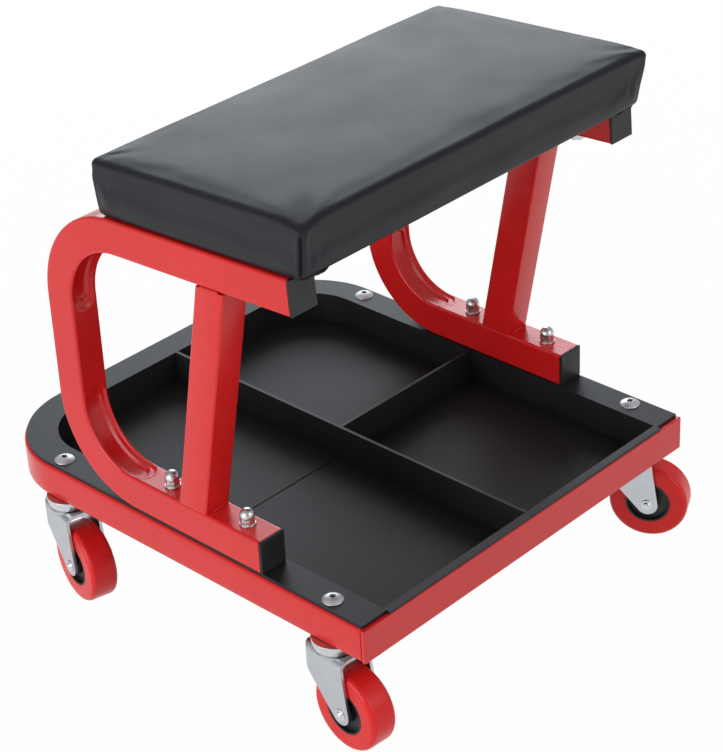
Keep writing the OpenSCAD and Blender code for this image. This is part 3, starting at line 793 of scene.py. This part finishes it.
def inflate(mesh):
    # cloth held along the hem and blown up, each point's move capped
    rest = [v.co.copy() for v in mesh.vertices]
    holder = helper("inflating", mesh)
    held = holder.vertex_groups.new(name="held")
    held.add([v.index for v in mesh.vertices if v.co.z < cloth["heldBelow"]], 1.0, "REPLACE")
    blow = holder.modifiers.new("inflate", "CLOTH")
    blow.settings.quality = cloth["quality"]
    blow.settings.mass = cloth["mass"]
    blow.settings.tension_stiffness = blow.settings.compression_stiffness = cloth["stretch"]
    blow.settings.shear_stiffness = cloth["shear"]
    blow.settings.bending_stiffness = cloth["bend"]
    blow.settings.use_pressure = True
    blow.settings.uniform_pressure_force = cloth["pressure"]
    blow.settings.vertex_group_mass = "held"
    blow.settings.effector_weights.gravity = 0
    blow.collision_settings.use_collision = False
    blow.collision_settings.use_self_collision = False
    scene = bpy.context.scene
    scene.frame_start, scene.frame_end = 1, cloth["frames"]
    for step in range(1, cloth["frames"] + 1):
        scene.frame_set(step)
    done = evaluated(holder)
    scene.frame_set(1)
    moved = 0
    for v, before in zip(done.vertices, rest):
        push = v.co - before
        if push.length > cloth["cap"]:
            push *= cloth["cap"] / push.length
        moved = max(moved, push.length)
        v.co = before + push
    print("cushion blown up by at most, mm:", round(moved / mm, 1))
    return done


def pleated(x, v, w):
    # corner pleats, a soft dent and the waves of a hand-pulled cover, in seat millimetres
    top = cushion["edgeHeight"]
    hx, hv, cv = sideLevel(min(max(w, 0), top), 0)
    sideX, sideV = (1 if x > 0 else -1), (1 if v > cv else -1)
    insideX, insideV = hx - abs(x), hv - abs(v - cv)
    along = (insideX - insideV) / math.sqrt(2)      # nought at the corner's middle
    if math.hypot(insideX, insideV) < pleat["reach"] and w > 0:
        fade = min(max((w - 0.5) / 2.5, 0), 1) * min(max((pleat["top"] - w) / 5, 0), 1)
        crease = pleat["deep"] * math.exp(-(along / pleat["width"]) ** 2)
        roll = sum(high * math.exp(-((along - at) / wide) ** 2) for high, at, wide in pleat["rolls"])
        push = (roll - crease) * fade
        x += sideX * push / math.sqrt(2)
        v += sideV * push / math.sqrt(2)
    if 1 < w < top - 1:
        wave = noise.noise(Vector((x * 0.021, v * 0.021, w * 0.03))) * pleat["wave"]
        band = min((w - 1) / 10, 1) * min((top - 1 - w) / 8, 1)
        onEnd = max(0, 1 - (hx - abs(x)) / 5)
        onFront = max(0, 1 - (hv - abs(v - cv)) / 5)
        x += sideX * wave * band * onEnd
        v += sideV * wave * band * onFront
        if x < 0 and onEnd > 0:
            p, q = v - pleat["dentAt"][0], w - pleat["dentAt"][1]
            leanP, leanQ = pleat["dentLean"]
            across, length = p * leanP + q * leanQ, p * leanQ - q * leanP
            wide, tall = pleat["dentSize"]
            x -= pleat["dent"] * math.exp(-(across / wide) ** 2 - (length / tall) ** 2) * band * onEnd
    if w > top - 5:
        w += pleat["crownWave"] * noise.noise(Vector((x * 0.014, v * 0.018, 3)))
    return x, v, w


tuck = {"pleats": ((148, 176, 1.6, 7.4), (152, 173, 2.4, 5.2)),   # of each: start, end, how low, how wide
        "steps": 14, "middle": 4.4, "sway": 0.5, "ripple": 0.25}


def tucks():
    # the spare cover folded under at the two front corners: two soft flat pleats each
    folds = []
    for hand in (-1, 1):
        for start, end, low, wide in tuck["pleats"]:
            rings = []
            for k in range(tuck["steps"] + 1):
                u = k / tuck["steps"]
                swell = math.sqrt(max(1 - (2 * u - 1) ** 4, 0.004))
                x = start + (end - start) * u
                mid = tuck["middle"] + tuck["sway"] * math.sin(9 * u - low)
                level = tuck["ripple"] * math.sin(14 * u) - low / 2
                ring = roundedBox(wide / 2 * swell, low / 2 * swell, 0.42 * low * swell, 3)
                if hand < 0:
                    ring = ring[::-1]
                rings.append([(hand * x, v - mid, w + level) for v, w in ring])
            folds.append(loft("tuck", rings))
    return folds


def joined(name, meshes):
    # several meshes as one
    bm = bmesh.new()
    for mesh in meshes:
        bm.from_mesh(mesh)
    made = bpy.data.meshes.new(name)
    bm.to_mesh(made)
    bm.free()
    return made


staple = {"inset": 24, "level": -0.15, "spacing": 34, "size": (11, 1.1, 0.8), "spread": 0.03}


def makeCushion():
    mesh = coverMesh()
    mesh = inflate(mesh)
    mesh.shade_smooth()
    holder = helper("finer", mesh)
    finer = holder.modifiers.new("finer", "SUBSURF")
    finer.levels = finer.render_levels = 1
    mesh = evaluated(holder)
    for v in mesh.vertices:
        v.co = atSeat(*pleated(*(c * 1000 for c in v.co)))
    folds = tucks()
    for fold in folds:
        for v in fold.vertices:
            v.co = atSeat(*v.co)
    mesh = joined("seatCushion", [mesh] + folds)
    mesh.shade_smooth()
    piece = addPiece("seatCushion", mesh, vinyl, "frame", "vinyl",
                     "seat_cover", "seat_foam", "seat_cover_folds")


def makeStaples():
    # one line of staples round the hem, under the board
    halfX, halfV = cushion["length"] / 2 - staple["inset"], cushion["depth"] / 2 - staple["inset"]
    cv = cushion["depth"] / 2 - cushion["overhang"]
    run = [atSeat(x, v + cv, staple["level"]) for x, v in perimeter(halfX, halfV, cushion["hemCorner"])[::4]]
    tree = makeRowTree("staples", "GeometryNodeMeshCube")
    rows = rowAlong(tree, "staples", [run], staple["spacing"], staple["size"], staple["spread"], brightZinc)
    addPiece("staples", rows, brightZinc, "frame", "zinc")


makeCushion()
makeStaples()
print("cushion made")


# fasteners and castors
fastener = {"round": 0.22, "socketSize": 2.5, "socketFloor": 1.05, "socketDeep": 0.3}
castor = {"names": ("front_left", "back_left", "front_right", "back_right"), "forkRound": 0.5,
          "smallRound": 0.25, "wheelRound": 0.3}


def makeFasteners():
    for node in ("frame_bolts", "frame_washers", "frame_nuts", "seat_bolts", "seat_bolt_washers"):
        softCopy(node, node.replace("_", "-"), brightZinc, "zinc", fastener["round"])
    softCopy("corner_screws", "corner-screws", satinZinc, "zinc", fastener["round"])


def makeCastors():
    for name in castor["names"]:
        for part in ("upper_race", "kingpin", "fork", "axle_bolt", "axle_nut"):
            finish, width = brightZinc, castor["smallRound"]
            if part == "fork":
                finish, width = zinc, castor["forkRound"]
            softCopy(name + "_" + part, name + "-" + part, finish, "zinc", width)
        softCopy(name + "_wheel_tread", name + "-tread", wheelRed, "wheel_red", castor["wheelRound"])
        softCopy(name + "_wheel_core", name + "-hub", hubPlastic, "hub_plastic", castor["wheelRound"])


def finishNodes():
    # the CAD's own solids: what still shows is zinc, apart from the board
    for nodeName, made in frame["nodes"].items():
        finish = zinc
        if "seat_board" in nodeName:
            finish = plywood
        if "seat_cover" in nodeName or "foam" in nodeName:
            finish = vinyl
        made.data.materials.clear()
        made.data.materials.append(finish)


def makeSocketShades():
    # dark hexagonal discs in the corner screws' sockets: painted shade, standing for the shadow down in the
    # sockets
    size = fastener["socketSize"]
    turns = [math.radians(60 * k) for k in range(6)]
    hexagon = [(size * math.cos(turn), size * math.sin(turn)) for turn in turns]
    shadeDiscs = []
    for hand in (-1, 1):
        for pinY in base["pins"]:
            spot = atBase(hand * (base["halfWidth"] - base["railWidth"] / 2), pinY,
                          base["deck"] + fastener["socketFloor"])
            rings = [[spot + Vector((x, y, z)) * mm for x, y in hexagon] for z in (0, fastener["socketDeep"])]
            shadeDiscs.append(loft("socket", rings))
    addPiece("socketShades", joined("socketShades", shadeDiscs), socketShadeZinc, "frame", "zinc")


makeFasteners()
makeCastors()
finishNodes()
makeSocketShades()
print("fasteners and castors made")


# stage, light and camera
studio = {"floorTone": 0.8, "floorHalf": 9, "seen": 0.98, "room": (0.95, 0.97, 1, 1), "roomStrength": 0.46}
# of each lamp: name, place, what it faces, size, power, tint
lamps = (("backBox", (1.55, 1.6, 1.1), (0, 0, 0.3), (1.5, 1.1), 24.5, (0.88, 0.94, 1.0)),
         ("leftBox", (-1.95, 0.1, 0.62), (0, 0, 0.18), (1.4, 1.1), 19.3, (1, 1, 1)),
         ("frontBox", (0.3, -2.2, 1.2), (0, 0, 0.2), (1.2, 1.2), 12, (1, 1, 1)))
lens = {"azimuth": -45.484, "elevation": 30.404, "roll": -2.856, "focalPixels": 2317.5, "longSide": 752,
        "sensor": 36, "place": (-1096.0, -908.0, 958.1)}     # place: height above the base's deck


def makeFloor():
    # pale and matt where light falls on it, and nearly plain white to the camera and in reflections
    f = Finish("paleFloor", Roughness=0.9, Base_Color=(studio["floorTone"],) * 3 + (1,))
    rays = ("Camera", "Glossy", "Transmission")
    seen = sum(f.node("LightPath", output="Is %s Ray" % kind) for kind in rays)
    glow = f.tree.nodes.new("ShaderNodeEmission")
    glow.inputs[0].default_value = (1, 1, 1, 1)
    both = f.tree.nodes.new("ShaderNodeMixShader")
    feed(f.tree, both.inputs[0], seen * studio["seen"])
    f.tree.links.new(f.shader.outputs[0], both.inputs[1])
    f.tree.links.new(glow.outputs[0], both.inputs[2])
    f.tree.links.new(both.outputs[0], f.out.inputs[0])
    half = studio["floorHalf"]
    corners = [(-half, -half, 0), (half, -half, 0), (half, half, 0), (-half, half, 0)]
    floor = helper("paleFloor", meshFrom("paleFloor", corners, [(0, 1, 2, 3)]))
    floor.data.materials.append(f.material)


def makeRoom():
    world = bpy.data.worlds.new("studio")
    bpy.context.scene.world = world
    world.use_nodes = True
    tree = world.node_tree
    tree.nodes.clear()
    room, out = tree.nodes.new("ShaderNodeBackground"), tree.nodes.new("ShaderNodeOutputWorld")
    room.inputs[0].default_value = studio["room"]
    room.inputs[1].default_value = studio["roomStrength"]
    tree.links.new(room.outputs[0], out.inputs[0])


def makeLamp(name, spot, aim, size, power, tint):
    lamp = bpy.data.lights.new(name, "AREA")
    lamp.shape, lamp.size, lamp.size_y = "RECTANGLE", size[0], size[1]
    lamp.energy, lamp.color = power, tint
    thing = helper(name, lamp)
    thing.location = spot
    thing.rotation_euler = (Vector(aim) - Vector(spot)).to_track_quat("-Z", "Y").to_euler()


def makeCamera():
    # angles and lens as the photograph was taken; the sensor fits the frame's long side
    az, el, roll = (math.radians(lens[key]) for key in ("azimuth", "elevation", "roll"))
    back = Vector((math.sin(az) * math.cos(el), -math.cos(az) * math.cos(el), math.sin(el)))
    right = (-back).cross(Vector((0, 0, 1))).normalized()
    up = right.cross(-back)
    turnedRight = math.cos(roll) * right + math.sin(roll) * up
    turnedUp = -math.sin(roll) * right + math.cos(roll) * up
    camera = bpy.data.cameras.new("photoCamera")
    camera.sensor_width = camera.sensor_height = lens["sensor"]
    camera.sensor_fit = "AUTO"
    camera.lens = lens["focalPixels"] * lens["sensor"] / lens["longSide"]
    thing = helper("photoCamera", camera)
    x, y, z = lens["place"]
    turned = Matrix((turnedRight, turnedUp, back)).transposed().to_4x4()
    thing.matrix_world = Matrix.Translation(atBase(x, y, z + base["deck"])) @ turned
    bpy.context.scene.camera = thing


makeFloor()
makeRoom()
for lamp in lamps:
    makeLamp(*lamp)
makeCamera()
bpy.context.scene.view_settings.view_transform = "Standard"
print("stage, light and camera made")
